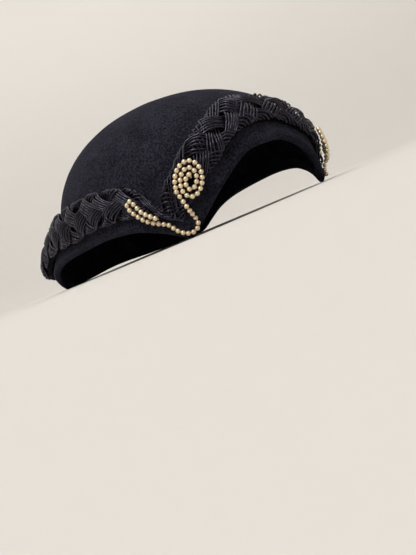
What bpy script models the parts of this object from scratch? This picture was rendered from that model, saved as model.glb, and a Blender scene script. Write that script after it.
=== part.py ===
"""Small felt capulet hat with a plaited cord band, bead rosettes and bead strings.

Lengths are in metres. The hat stands on z = 0 as it would on a table. The wearer looks along -Y
and the wearer's right is -X. The felt and the band are the same on both sides of the plane x = 0.

A place round the hat is a "position": 0 at centre front, 1 at the temple point, 2 at centre back.
"""

import math

import bmesh
import bpy
from mathutils import Vector

MM = 0.001

# Crown: a block with an oval plan whose widest level lies a little above the table
CROWN_HALF_WIDTH = 79.8 * MM
CROWN_HALF_LENGTH = 95.3 * MM
CROWN_RISE = 69.2 * MM
WIDEST_LEVEL = 24.6 * MM
CROWN_LEAN = math.radians(3.4)
CROWN_FULLNESS = 2.04
BROW_FULLNESS = 2.18
BROW_SQUARENESS = 2.3

# Felt: one wall, doubled where the raw edge is turned in
FELT_WALL = 2.0 * MM
FOLD_THICKNESS = 4.0 * MM
FOLD_HEIGHT = 9.0 * MM
FOLD_STEP = 1.3 * MM
EDGE_ROUNDING = 1.3 * MM

# Edge line: an arch over the brow, a point at each temple and a lower arch over each ear
TEMPLE_ANGLE = math.radians(41.1)
TEMPLE_TIP_WIDTH = 3.6 * MM
FRONT_ARCH = 36.2 * MM
SIDE_ARCH = 19.6 * MM

# The felt spreads outwards round the back of the head
FLARE = 19.0 * MM
FLARE_TOP = 42.0 * MM
FLARE_BOTTOM = 11.0 * MM
FLARE_TUCK = 2.5 * MM
FLARE_START_ANGLE = math.radians(88.0)
FLARE_FULL_ANGLE = math.radians(142.0)

# Band: a flat plait of cord bundles
BAND_WIDTH = 23.0 * MM
BAND_THICKNESS = 7.0 * MM
EDGE_SHOW = 10.0 * MM
BUNDLE_PITCH = 10.5 * MM
BUNDLE_SWELL = 0.9 * MM
BAND_GAP = 0.4 * MM
FLARE_GAP = 1.0 * MM

# Beads, their thread and the oval spiral of the rosettes
BEAD_RADIUS = 1.5 * MM
BEAD_PITCH = 3.1 * MM
THREAD_RADIUS = 0.5 * MM
BEAD_SIDES = 10
BEAD_RING_ANGLE = math.radians(50.0)
ROSETTE_WIDTH = 20.4 * MM
ROSETTE_HEIGHT = 27.4 * MM
ROSETTE_TURNS = 2.5
TURN_PITCH = 3.1 * MM
ROSETTE_EYE = 4.6 * MM
ROSETTE_START = math.radians(198.0)
ROSETTE_LEAN = math.radians(22.0)
ROSETTE_BEND_RADIUS = 85.0 * MM
ROSETTE_GAP = 0.9 * MM
ROSETTE_SAG_START = 3.0 * MM
PIECE_GAP = 0.9 * MM

# Middle of each rosette: position, height, and how far its lower end sags towards the felt.
# The left one is sewn on a little lower.
ROSETTE_PLACES = {"right": (0.816, 29.4 * MM, 2.0 * MM), "left": (0.84, 21.6 * MM, 4.4 * MM)}

# Faceting
FRONT_COLUMNS = 8
SIDE_COLUMNS = 21
OUTER_ROWS = 11
INNER_ROWS = 7
ROW_CROWDING = 1.3
SHADE_ANGLE = math.radians(40.0)

# How finely curves are stepped along, and the angle over which the felt's slope is measured
CURVE_STEPS = 600
ROUTE_STEPS = 40
SLOPE_ANGLE = 0.002

# Felt edge: position, then height as a share of FRONT_ARCH up to position 1 and of SIDE_ARCH
# past it. A share below 0 is where the felt is pressed flat on the table.
EDGE_LINE = (
    (0.00, 1.00),
    (0.18, 0.985),
    (0.33, 0.885),
    (0.57, 0.615),
    (0.82, 0.255),
    (1.00, 0.00),
    (1.045, 0.34),
    (1.10, 0.63),
    (1.165, 0.86),
    (1.28, 0.995),
    (1.42, 0.985),
    (1.52, 0.93),
    (1.58, 0.84),
    (1.63, 0.66),
    (1.67, 0.38),
    (1.70, 0.12),
    (1.73, -0.03),
    (1.80, -0.04),
    (1.88, 0.05),
    (2.00, 0.15),
)

# Band sections: position of the lower edge, its distance from the felt edge as a share of
# EDGE_SHOW, degrees by which the upper edge leads, rise as a share of BAND_WIDTH, and
# thickness as a share of BAND_THICKNESS
BAND_SECTIONS = (
    (0.00, 0.98, 0.0, 0.89, 1.00),
    (0.22, 0.93, 2.0, 0.87, 1.00),
    (0.39, 0.95, 5.6, 0.82, 1.00),
    (0.54, 0.95, 8.0, 0.75, 1.00),
    (0.71, 1.15, 8.0, 0.68, 0.93),
    (0.83, 1.11, 8.0, 0.67, 0.80),
    (0.95, 1.17, 7.0, 0.63, 0.68),
    (1.02, 0.96, 5.0, 0.53, 0.62),
    (1.06, 1.05, 1.5, 0.50, 0.62),
    (1.11, 0.95, -1.0, 0.70, 0.68),
    (1.16, 0.77, -1.0, 0.85, 0.74),
    (1.24, 0.70, -1.0, 0.92, 0.80),
    (1.37, 0.65, 0.0, 0.97, 0.88),
    (1.50, 0.50, 0.0, 1.06, 1.00),
    (1.63, 0.70, 0.0, 1.02, 1.25),
    (1.73, 1.00, 0.0, 0.93, 1.40),
    (1.86, 0.95, 0.0, 0.92, 1.35),
    (2.00, 0.90, 0.0, 0.92, 1.35),
)

# Profile of a band section: place across the width, height as a share of the thickness and
# the share of BUNDLE_SWELL that it gains where a bundle crosses
BAND_PROFILE = (
    (0.00, 0.45, -0.6),
    (0.25, 0.96, 1.0),
    (0.50, 0.78, -0.5),
    (0.75, 0.96, -1.0),
    (1.00, 0.45, 0.6),
)

# Bead strings: position, height and distance of the middle from the felt, chosen by eye. Each
# drops from its rosette to the temple point, then both double back on the band alike.
STRING_DROPS = {
    "right": (
        (0.914, 16.6 * MM, 6.4 * MM),
        (0.908, 13.6 * MM, 4.0 * MM),
        (0.900, 10.8 * MM, 2.1 * MM),
        (0.893, 7.8 * MM, 2.0 * MM),
        (0.902, 5.2 * MM, 2.0 * MM),
        (0.936, 3.4 * MM, 2.0 * MM),
        (0.982, 3.1 * MM, 2.0 * MM),
    ),
    "left": (
        (1.002, 17.2 * MM, 7.6 * MM),
        (0.994, 13.6 * MM, 6.6 * MM),
        (0.976, 10.2 * MM, 3.6 * MM),
        (0.958, 6.8 * MM, 2.0 * MM),
        (0.962, 4.0 * MM, 2.0 * MM),
    ),
}
STRING_LOOP = (
    (1.009, 4.4 * MM, 2.0 * MM),
    (1.022, 6.6 * MM, 2.0 * MM),
    (1.032, 9.6 * MM, 2.0 * MM),
    (1.042, 12.4 * MM, 2.0 * MM),
    (1.058, 14.4 * MM, 2.4 * MM),
    (1.074, 16.4 * MM, 3.2 * MM),
    (1.088, 19.0 * MM, 4.7 * MM),
    (1.098, 22.2 * MM, 6.4 * MM),
    (1.107, 25.4 * MM, 7.5 * MM),
    (1.114, 28.2 * MM, 7.9 * MM),
    (1.117, 30.4 * MM, 7.9 * MM),
    (1.114, 32.0 * MM, 7.9 * MM),
    (1.105, 32.2 * MM, 7.9 * MM),
    (1.098, 30.4 * MM, 7.9 * MM),
    (1.091, 27.2 * MM, 7.8 * MM),
    (1.082, 23.9 * MM, 7.7 * MM),
    (1.070, 21.3 * MM, 7.5 * MM),
    (1.058, 18.8 * MM, 7.3 * MM),
    (1.047, 16.9 * MM, 6.8 * MM),
)


def clear_scene():
    """Remove every object so that the model is built from nothing."""
    for thing in list(bpy.data.objects):
        bpy.data.objects.remove(thing, do_unlink=True)


def make_material(name, colour, roughness):
    """Return a plain Principled material."""
    material = bpy.data.materials.new(name)
    material.use_nodes = True
    shader = material.node_tree.nodes["Principled BSDF"]
    shader.inputs["Base Color"].default_value = (*colour, 1.0)
    shader.inputs["Roughness"].default_value = roughness
    shader.inputs["Metallic"].default_value = 0.0
    return material


def blend(start, end, share):
    """Return the value or vector that lies a share of the way from start to end."""
    return start + (end - start) * share


def ease(share):
    """Return a share from 0 to 1 with a level start and end."""
    share = min(max(share, 0.0), 1.0)
    return share * share * (3.0 - 2.0 * share)


def read_table(table, key, column, corner=None):
    """Return a column of a table at key, on a smooth curve through its rows.

    A corner is a key at which the curve may turn sharply.
    """
    last = len(table) - 2
    row = 0
    while row < last and key > table[row + 1][0]:
        row += 1

    def slope(index):
        left = max(index - 1, 0)
        right = min(index + 1, len(table) - 1)
        if table[index][0] == corner:
            left, right = (index, right) if index == row else (left, index)
        elif index in (0, len(table) - 1):
            return 0.0
        rise = table[right][column] - table[left][column]
        return rise / (table[right][0] - table[left][0])

    span = table[row + 1][0] - table[row][0]
    t = (key - table[row][0]) / span
    start, end = table[row][column], table[row + 1][column]
    return (
        start * (2 * t**3 - 3 * t**2 + 1)
        + end * (3 * t**2 - 2 * t**3)
        + slope(row) * span * (t**3 - 2 * t**2 + t)
        + slope(row + 1) * span * (t**3 - t**2)
    )


def angle_at(position):
    """Return the angle from centre front of a position, which may be on either side."""
    size = abs(position)
    if size <= 1.0:
        angle = size * TEMPLE_ANGLE
    else:
        angle = blend(TEMPLE_ANGLE, math.pi, size - 1.0)
    return math.copysign(angle, position)


def edge_height(position):
    """Return the height of the felt edge."""
    size = abs(position)
    arch = FRONT_ARCH if size <= 1.0 else SIDE_ARCH
    return max(arch * read_table(EDGE_LINE, size, 1, corner=1.0), 0.0)


def plan_radius(angle):
    """Return the crown's radius at its widest level, where the brow is a little square."""
    power = blend(CROWN_FULLNESS, BROW_SQUARENESS, ease(math.cos(angle)))
    across = abs(math.sin(angle) / CROWN_HALF_WIDTH)
    along = abs(math.cos(angle) / CROWN_HALF_LENGTH)
    return (across**power + along**power) ** (-1.0 / power)


def rise_at(angle, height):
    """Return the crown's rise angle at a height: 0 at the widest level, a right angle on top."""
    lean = math.tan(CROWN_LEAN) * plan_radius(angle) * math.cos(angle)
    share = (height + lean - WIDEST_LEVEL) / CROWN_RISE
    if share <= 0.0:
        return share
    return math.asin(min(share, 1.0) ** (fullness_at(angle) / 2.0))


def fullness_at(angle):
    """Return the exponent of the crown's profile, which is fuller over the brow."""
    return blend(CROWN_FULLNESS, BROW_FULLNESS, ease(math.cos(angle)))


def flare_share(angle):
    """Return how much of the flare an angle has: none at the sides, all of it at the back."""
    return ease((abs(angle) - FLARE_START_ANGLE) / (FLARE_FULL_ANGLE - FLARE_START_ANGLE))


def felt_point(angle, rise):
    """Return a point of the felt's outer face, at an angle from the front and a rise angle."""
    side, ahead = math.sin(angle), math.cos(angle)
    radius = plan_radius(angle)
    height = WIDEST_LEVEL + CROWN_RISE * rise
    if rise > 0.0:
        power = 2.0 / fullness_at(angle)
        radius *= max(math.cos(rise), 0.0) ** power
        height = WIDEST_LEVEL + CROWN_RISE * math.sin(rise) ** power
    height -= math.tan(CROWN_LEAN) * radius * ahead
    drop = (FLARE_TOP - height) / (FLARE_TOP - FLARE_BOTTOM)
    tuck = 1.0 - height / FLARE_BOTTOM
    radius += (FLARE * ease(drop) - FLARE_TUCK * ease(tuck)) * flare_share(angle)
    return Vector((-side * radius, -ahead * radius, height))


def felt_normal(angle, rise):
    """Return the outward direction of the felt's outer face."""
    step = SLOPE_ANGLE
    across = felt_point(angle + step, rise) - felt_point(angle - step, rise)
    up = felt_point(angle, min(rise + step, math.pi / 2)) - felt_point(angle, rise - step)
    return up.cross(across).normalized()


def off_felt(angle, height, lift):
    """Return the point at a distance from the felt's outer face, outwards if positive."""
    rise = rise_at(angle, height)
    return felt_point(angle, rise) + felt_normal(angle, rise) * lift


def skin(name, rings, material, ends="capped"):
    """Make an object from closed rings of points, each joined to the next.

    The ends are "capped" with a face, drawn to a "pole", or "joined" into a ring.
    """
    shape = bmesh.new()
    loops = [[shape.verts.new(point) for point in ring] for ring in rings]
    pairs = list(zip(loops, loops[1:]))
    if ends == "joined":
        pairs.append((loops[-1], loops[0]))
    for lower, upper in pairs:
        for index in range(len(lower)):
            after = (index + 1) % len(lower)
            shape.faces.new((lower[index], lower[after], upper[after], upper[index]))
    if ends == "capped":
        shape.faces.new(list(reversed(loops[0])))
        shape.faces.new(loops[-1])
    if ends == "pole":
        for loop in (loops[0], loops[-1]):
            centre = sum((vert.co for vert in loop), Vector()) / len(loop)
            pole = shape.verts.new(centre)
            for index in range(len(loop)):
                shape.faces.new((loop[index - 1], loop[index], pole))
    bmesh.ops.recalc_face_normals(shape, faces=shape.faces)
    mesh = bpy.data.meshes.new(name)
    shape.to_mesh(mesh)
    shape.free()
    mesh.materials.append(material)
    mesh.shade_smooth()
    mesh.set_sharp_from_angle(angle=SHADE_ANGLE)
    thing = bpy.data.objects.new(name, mesh)
    bpy.context.scene.collection.objects.link(thing)
    return thing


def cap_positions():
    """Return the positions of the felt's columns once round, with a flat at each temple."""
    tip = TEMPLE_TIP_WIDTH / (CROWN_HALF_WIDTH + CROWN_HALF_LENGTH)
    front_end = 1.0 - tip / TEMPLE_ANGLE
    side_start = 1.0 + tip / (math.pi - TEMPLE_ANGLE)
    half = [front_end * column / FRONT_COLUMNS for column in range(FRONT_COLUMNS + 1)]
    half += [blend(side_start, 2.0, column / SIDE_COLUMNS) for column in range(SIDE_COLUMNS + 1)]
    return half + [-position for position in reversed(half[1:-1])]


def felt_column(position):
    """Return the points of one column of the felt, from the top down and up inside."""
    angle = angle_at(position)
    edge = edge_height(position)
    if abs(abs(position) - 1.0) < TEMPLE_TIP_WIDTH / CROWN_HALF_WIDTH:
        edge = 0.0
    start = rise_at(angle, edge + EDGE_ROUNDING)
    fold = rise_at(angle, edge + FOLD_HEIGHT)
    step = rise_at(angle, edge + FOLD_HEIGHT + FOLD_STEP)
    last = math.pi / 2

    outside = [blend(start, last, (row / OUTER_ROWS) ** ROW_CROWDING) for row in range(OUTER_ROWS)]
    inside = [blend(step, last, (row / INNER_ROWS) ** ROW_CROWDING) for row in range(INNER_ROWS)]
    points = [felt_point(angle, rise) for rise in reversed(outside)]
    for inset in (EDGE_ROUNDING, FOLD_THICKNESS - EDGE_ROUNDING):
        point = off_felt(angle, edge, -inset)
        point.z = edge
        points.append(point)
    for rise in (start, fold):
        points.append(felt_point(angle, rise) - felt_normal(angle, rise) * FOLD_THICKNESS)
    for rise in inside:
        points.append(felt_point(angle, rise) - felt_normal(angle, rise) * FELT_WALL)
    return points


def build_felt_cap(material):
    """Make the felt cap: one hollow wall whose raw edge is turned in."""
    columns = [felt_column(position) for position in cap_positions()]
    rings = [list(ring) for ring in zip(*columns)]
    return skin("felt_cap", rings, material, ends="pole")


def band_section(position, crossing):
    """Return the outline of one section of the band.

    crossing is 1 where a bundle comes over at the lower edge and -1 at the upper edge.
    """
    size = abs(position)
    side = math.copysign(1.0, position)
    setback = read_table(BAND_SECTIONS, size, 1) * EDGE_SHOW
    lead = math.radians(read_table(BAND_SECTIONS, size, 2))
    rise = read_table(BAND_SECTIONS, size, 3) * BAND_WIDTH
    thickness = read_table(BAND_SECTIONS, size, 4) * BAND_THICKNESS
    low_angle = abs(angle_at(position))
    low_height = edge_height(position) + setback

    def place(across, lift):
        angle = low_angle + lead * across
        gap = BAND_GAP + FLARE_GAP * flare_share(angle)
        return off_felt(side * angle, low_height + rise * across, gap + lift)

    inner = [place(across, 0.0) for across, _, _ in BAND_PROFILE]
    outer = []
    for across, share, swell in BAND_PROFILE:
        outer.append(place(across, thickness * share + swell * crossing * BUNDLE_SWELL / 2))
    return inner + list(reversed(outer))


def band_positions():
    """Return positions half way round that lie half a bundle apart along the band."""
    middle = []
    for step in range(CURVE_STEPS + 1):
        position = 2.0 * step / CURVE_STEPS
        section = band_section(position, 0)
        middle.append((position, section[len(BAND_PROFILE) // 2]))
    lengths = [0.0]
    for (_, before), (_, after) in zip(middle, middle[1:]):
        lengths.append(lengths[-1] + (after - before).length)
    count = 2 * max(round(lengths[-1] / BUNDLE_PITCH), 4)
    positions = []
    index = 0
    for section in range(count + 1):
        goal = lengths[-1] * section / count
        while index < CURVE_STEPS - 1 and lengths[index + 1] < goal:
            index += 1
        share = (goal - lengths[index]) / (lengths[index + 1] - lengths[index])
        positions.append(blend(middle[index][0], middle[index + 1][0], share))
    return positions


def build_braid_band(material):
    """Make the plaited band as one solid ring with its bundles in relief."""
    half = band_positions()
    rings = []
    for index, position in enumerate(half):
        rings.append(band_section(position, 1 if index % 2 else -1))
    for index in range(len(half) - 2, 0, -1):
        rings.append(band_section(-half[index], 1 if index % 2 else -1))
    return skin("braid_band", rings, material, ends="joined")


def rosette_frame(position, level):
    """Return the middle of a rosette on the wearer's right with its three directions."""
    angle = angle_at(position)
    rise = rise_at(angle, level)
    outward = felt_normal(angle, rise)
    thickness = read_table(BAND_SECTIONS, position, 4) * BAND_THICKNESS
    lift = BAND_GAP + thickness + ROSETTE_GAP + BEAD_RADIUS
    middle = felt_point(angle, rise) + outward * lift
    front = Vector((math.cos(angle), -math.sin(angle), 0.0))
    front = (front - outward * front.dot(outward)).normalized()
    up = outward.cross(front)
    if up.z < 0.0:
        up.negate()
    long_way = up * math.cos(ROSETTE_LEAN) + front * math.sin(ROSETTE_LEAN)
    short_way = front * math.cos(ROSETTE_LEAN) - up * math.sin(ROSETTE_LEAN)
    return middle, short_way, long_way, outward


def rosette_path(position, level, sag):
    """Return close points along the oval spiral, whose lower end sags towards the felt."""
    middle, short_way, long_way, outward = rosette_frame(position, level)
    points = []
    for step in range(CURVE_STEPS + 1):
        turns = ROSETTE_TURNS * step / CURVE_STEPS
        angle = ROSETTE_START - 2.0 * math.pi * turns
        across = ROSETTE_WIDTH / 2 - BEAD_RADIUS - TURN_PITCH * turns
        along = blend(ROSETTE_HEIGHT / 2 - BEAD_RADIUS, ROSETTE_EYE / 2, turns / ROSETTE_TURNS)
        x = across * math.cos(angle)
        y = along * math.sin(angle)
        low = max(ROSETTE_SAG_START - y, 0.0) / (ROSETTE_SAG_START + ROSETTE_HEIGHT / 2)
        bend = (x * x + y * y) / (2.0 * ROSETTE_BEND_RADIUS) + sag * low**1.5
        points.append(middle + short_way * x + long_way * y - outward * bend)
    return points


def spaced(points, pitch):
    """Return points one pitch apart along a path of close points."""
    result = [points[0]]
    for point in points:
        if (point - result[-1]).length >= pitch:
            result.append(point)
    return result


def mirrored(points, side):
    """Return points moved to a side: -1 is the wearer's right, where they were worked out."""
    return [Vector((-point.x * side, point.y, point.z)) for point in points]


def build_rosette(label, side, material):
    """Make a rosette: beads fused on their thread, wound in an oval spiral."""
    centres = mirrored(spaced(rosette_path(*ROSETTE_PLACES[label]), BEAD_PITCH), side)
    rings = []
    for index, centre in enumerate(centres):
        before = centres[max(index - 1, 0)]
        after = centres[min(index + 1, len(centres) - 1)]
        along = (after - before).normalized()
        if index:
            rings.append(bead_ring((before + centre) / 2, centre - before, THREAD_RADIUS))
        for tilt in (-BEAD_RING_ANGLE, 0.0, BEAD_RING_ANGLE):
            middle = centre + along * BEAD_RADIUS * math.sin(tilt)
            rings.append(bead_ring(middle, along, BEAD_RADIUS * math.cos(tilt)))
    return skin("pearl_rosette_" + label, rings, material)


def bead_ring(centre, along, radius):
    """Return a ring round a bead's thread that starts at the same side each time."""
    along = along.normalized()
    outward = Vector((centre.x, centre.y, 0.0)).normalized()
    first = (outward - along * outward.dot(along)).normalized()
    second = along.cross(first)
    points = []
    for index in range(BEAD_SIDES):
        turn = 2.0 * math.pi * index / BEAD_SIDES
        points.append(centre + (first * math.cos(turn) + second * math.sin(turn)) * radius)
    return points


def smooth_route(points):
    """Return a smooth curve of close points through a few points."""
    result = []
    for index in range(len(points) - 1):
        start, end = points[index], points[index + 1]
        before = points[index - 1] if index else start * 2 - end
        after = points[index + 2] if index + 2 < len(points) else end * 2 - start
        for step in range(ROUTE_STEPS):
            t = step / ROUTE_STEPS
            result.append(
                (
                    start * 2
                    + (end - before) * t
                    + (before * 2 - start * 5 + end * 4 - after) * t**2
                    + (start * 3 - before - end * 3 + after) * t**3
                )
                / 2
            )
    result.append(points[-1])
    return result


def build_string(label, side, material):
    """Make the body of a bead string: a round tube along its route."""
    name = "pearl_string_" + label
    spiral = rosette_path(*ROSETTE_PLACES[label])
    leaving = (spiral[0] - spiral[1]).normalized()
    route = [spiral[0] + leaving * (BEAD_RADIUS + PIECE_GAP)]
    for position, level, lift in STRING_DROPS[label] + STRING_LOOP:
        route.append(off_felt(angle_at(position), level, lift))
    points = mirrored(spaced(smooth_route(route), 2.0 * BEAD_RADIUS), side)
    curve = bpy.data.curves.new(name, "CURVE")
    curve.dimensions = "3D"
    curve.bevel_depth = BEAD_RADIUS
    curve.bevel_resolution = 2
    curve.use_fill_caps = True
    spline = curve.splines.new("POLY")
    spline.points.add(len(points) - 1)
    for place, point in zip(spline.points, points):
        place.co = (*point, 1.0)
    curve.materials.append(material)
    thing = bpy.data.objects.new(name, curve)
    bpy.context.scene.collection.objects.link(thing)
    return thing


def centre_on_origin(things):
    """Move the hat so that the origin is the bottom centre of its box."""
    bpy.context.view_layer.update()
    corners = [thing.matrix_world @ Vector(corner) for thing in things for corner in thing.bound_box]
    nearest = min(corner.y for corner in corners)
    farthest = max(corner.y for corner in corners)
    for thing in things:
        thing.location.y -= (nearest + farthest) / 2


def main():
    """Build every piece of the hat."""
    clear_scene()
    felt = make_material("navy_felt", (0.012, 0.013, 0.022), 0.95)
    cord = make_material("navy_cord", (0.016, 0.015, 0.024), 0.5)
    pearl = make_material("champagne_bead", (0.78, 0.66, 0.47), 0.3)
    things = [build_felt_cap(felt), build_braid_band(cord)]
    for label, side in (("right", -1), ("left", 1)):
        things.append(build_rosette(label, side, pearl))
        things.append(build_string(label, side, pearl))
    centre_on_origin(things)


main()
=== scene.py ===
"""Looks of a small felt hat with a plaited cord band, bead rosettes and bead strings.

Lengths are in metres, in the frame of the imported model: the hat stands on z = 0, its front faces -Y
and the wearer's right is -X. A place round the hat is a "position": 0 at centre front, 1 at the
temple point and 2 at centre back, positive on the wearer's right and negative on the left.
"""

import logging
import math
import random
from bisect import bisect_right
from collections.abc import Sequence
from dataclasses import dataclass, field
from enum import Enum
from operator import itemgetter

import bmesh
import bpy
from mathutils import Matrix, Vector, noise


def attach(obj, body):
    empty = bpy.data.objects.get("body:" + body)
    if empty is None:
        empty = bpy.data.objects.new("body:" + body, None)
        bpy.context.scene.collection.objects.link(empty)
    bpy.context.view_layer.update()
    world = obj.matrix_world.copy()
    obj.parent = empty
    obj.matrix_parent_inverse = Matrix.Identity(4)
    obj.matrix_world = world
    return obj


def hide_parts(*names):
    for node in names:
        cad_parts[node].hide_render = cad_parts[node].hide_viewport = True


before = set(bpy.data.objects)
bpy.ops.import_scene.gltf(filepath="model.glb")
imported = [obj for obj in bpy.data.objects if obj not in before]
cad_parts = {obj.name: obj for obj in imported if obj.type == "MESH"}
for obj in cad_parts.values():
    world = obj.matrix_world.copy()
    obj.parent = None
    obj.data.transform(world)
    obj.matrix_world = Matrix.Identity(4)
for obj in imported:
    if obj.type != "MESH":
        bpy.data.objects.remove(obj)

MM = 0.001
CENTRE_BACK = 2.0  # its position; one round is twice as much
WELD = 0.002 * MM  # points closer than this are one
LOG = logging.getLogger("capulet_hat")

Row = tuple[float, ...]
Colour = tuple[float, float, float]
Unevenness = tuple[float, tuple[int, int]]  # its amount, and a range of waves a round
Materials = Sequence[bpy.types.Material]


class Side(Enum):
    """A side of the hat, with the sign of its positions."""

    RIGHT = 1
    LEFT = -1


# ---------------------------------------------------------------- small helpers


def blend(start: float, end: float, share: float) -> float:
    """Return the value that lies a share of the way from start to end."""
    return start + (end - start) * share


def ease(share: float) -> float:
    """Return a share from 0 to 1 with a level start and end."""
    share = min(max(share, 0.0), 1.0)
    return share * share * (3.0 - 2.0 * share)


def wrapped(position: float) -> float:
    """Return a position that runs on past centre back as one of the left side."""
    return position - 2.0 * CENTRE_BACK if position > CENTRE_BACK else position


def read_table(table: Sequence[Row], key: float, column: int, corner: float | None = None) -> float:
    """Read a column of a table at a key, on a smooth curve through its rows.

    Args:
        table: Rows that start with their key, in rising order.
        key: Where to read.
        column: Which column to read.
        corner: A key at which the curve may turn sharply.

    Returns:
        The value of the curve.
    """
    last = len(table) - 2
    row = 0
    while row < last and key > table[row + 1][0]:
        row += 1

    def slope(index: int) -> float:
        left, right = max(index - 1, 0), min(index + 1, len(table) - 1)
        if table[index][0] == corner:
            left, right = (index, right) if index == row else (left, index)
        elif index in (0, len(table) - 1):
            return 0.0
        rise = table[right][column] - table[left][column]
        return rise / (table[right][0] - table[left][0])

    span = table[row + 1][0] - table[row][0]
    t = (key - table[row][0]) / span
    start, end = table[row][column], table[row + 1][column]
    return (
        start * (2 * t**3 - 3 * t**2 + 1)
        + end * (3 * t**2 - 2 * t**3)
        + slope(row) * span * (t**3 - 2 * t**2 + t)
        + slope(row + 1) * span * (t**3 - t**2)
    )


def spaced(points: Sequence[Vector], pitch: float) -> list[Vector]:
    """Pick points one pitch apart along a path.

    Args:
        points: Close points along the path.
        pitch: The straight distance from one picked point to the next.

    Returns:
        The picked points, from the path's first one.
    """
    result = [points[0]]
    for point in points:
        if (point - result[-1]).length >= pitch:
            result.append(point)
    return result


def smooth_route(points: Sequence[Vector], steps: int) -> list[Vector]:
    """Run a smooth curve through a few points.

    Args:
        points: The points to run through.
        steps: How many steps each stretch takes.

    Returns:
        Close points along the curve.
    """
    result = []
    for index in range(len(points) - 1):
        start, end = points[index], points[index + 1]
        before = points[index - 1] if index else start * 2 - end
        after = points[index + 2] if index + 2 < len(points) else end * 2 - start
        for step in range(steps):
            t = step / steps
            even = start * 2 + (end - before) * t
            odd = (before * 2 - start * 5 + end * 4 - after) * t**2
            result.append((even + odd + (start * 3 - before - end * 3 + after) * t**3) / 2)
    result.append(points[-1])
    return result


@dataclass(frozen=True)
class Wobble:
    """A slow unevenness that meets itself after one round, as handwork has."""

    amount: float
    waves: tuple[int, ...]
    starts: tuple[float, ...]

    @classmethod
    def drawn(cls, chance: random.Random, amount: float, waves: tuple[int, int]) -> "Wobble":
        """Draw an unevenness of an amount, with three waves from a range of waves a round."""
        counts = tuple(chance.randint(*waves) for _ in range(3))
        return cls(amount, counts, tuple(chance.uniform(0.0, math.tau) for _ in counts))

    def at(self, share: float) -> float:
        """Return the unevenness at a share of the way round."""
        pairs = zip(self.waves, self.starts)
        total = sum(math.sin(math.tau * wave * share + start) for wave, start in pairs)
        return self.amount / 2 * total


# ---------------------------------------------------------------- the hat's form


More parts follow.
